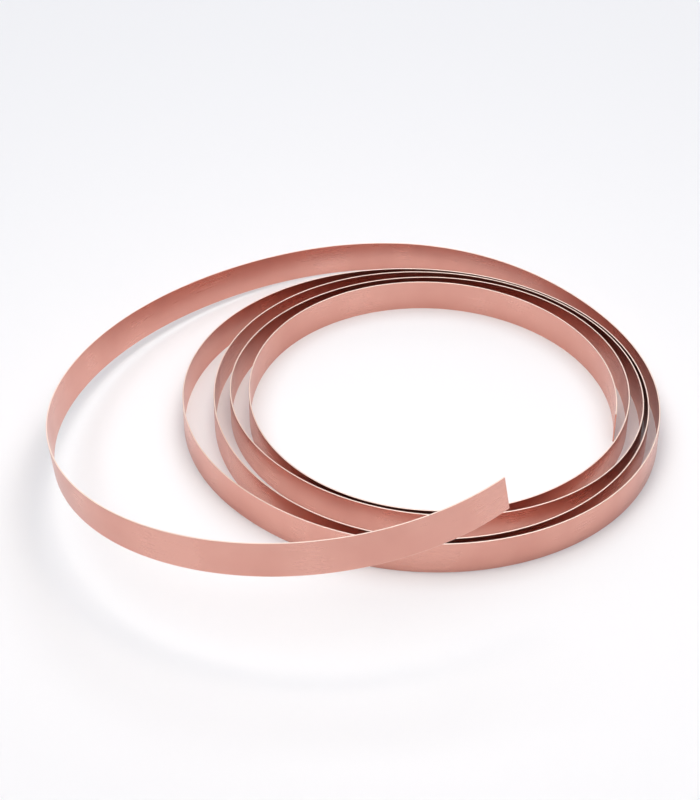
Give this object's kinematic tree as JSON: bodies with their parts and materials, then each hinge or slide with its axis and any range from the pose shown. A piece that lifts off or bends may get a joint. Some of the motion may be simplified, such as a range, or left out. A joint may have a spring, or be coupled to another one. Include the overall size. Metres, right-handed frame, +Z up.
{
  "type": "coiled copper strip",
  "caption": "Flat bare copper strip coiled on edge, with a springy outer turn that stands away from the coil, rises and ends in a square cut.",
  "frame": {"origin": "on the surface that the coil lies on, at the middle of the footprint", "axes": "+Z up, square to the surface; the free turn stands away from the coil towards -X and its cut end lies towards -Y"},
  "size_m": [0.1742, 0.182, 0.0461],
  "materials": {
    "copper_strip": "satin bare rolled copper, bright slit edges"
  },
  "bodies": {
    "coil": {"inner_turn": "copper_strip", "second_turn": "copper_strip", "third_turn": "copper_strip", "outer_turn": "copper_strip", "back_stretch": "copper_strip"},
    "side_stretch": {"side_stretch": "copper_strip"},
    "front_stretch": {"front_stretch": "copper_strip"},
    "free_end": {"free_end": "copper_strip"}
  },
  "joints": [
    {"name": "back_bend", "type": "hinge", "parent": "coil", "child": "side_stretch", "pos_m": [0.02065, 0.08987, 0.0052], "axis": [0, 0, -1], "range_deg": [-4, 20], "stiffness_Nm_per_rad": 0.057},
    {"name": "side_twist", "type": "hinge", "parent": "side_stretch", "child": "front_stretch", "pos_m": [-0.07423, 0.03544, 0.01006], "axis": [-0.4689, -0.8782, 0.0941], "range_deg": [-12, 20], "stiffness_Nm_per_rad": 0.085, "springref_deg": 4.01},
    {"name": "front_bend", "type": "hinge", "parent": "front_stretch", "child": "free_end", "pos_m": [-0.07407, -0.0563, 0.02427], "axis": [0, 0, -1], "range_deg": [-4, 20], "stiffness_Nm_per_rad": 0.057}
  ],
  "couplings": [
    {"joint": "front_bend", "follows": "back_bend", "ratio": 1}
  ]
}
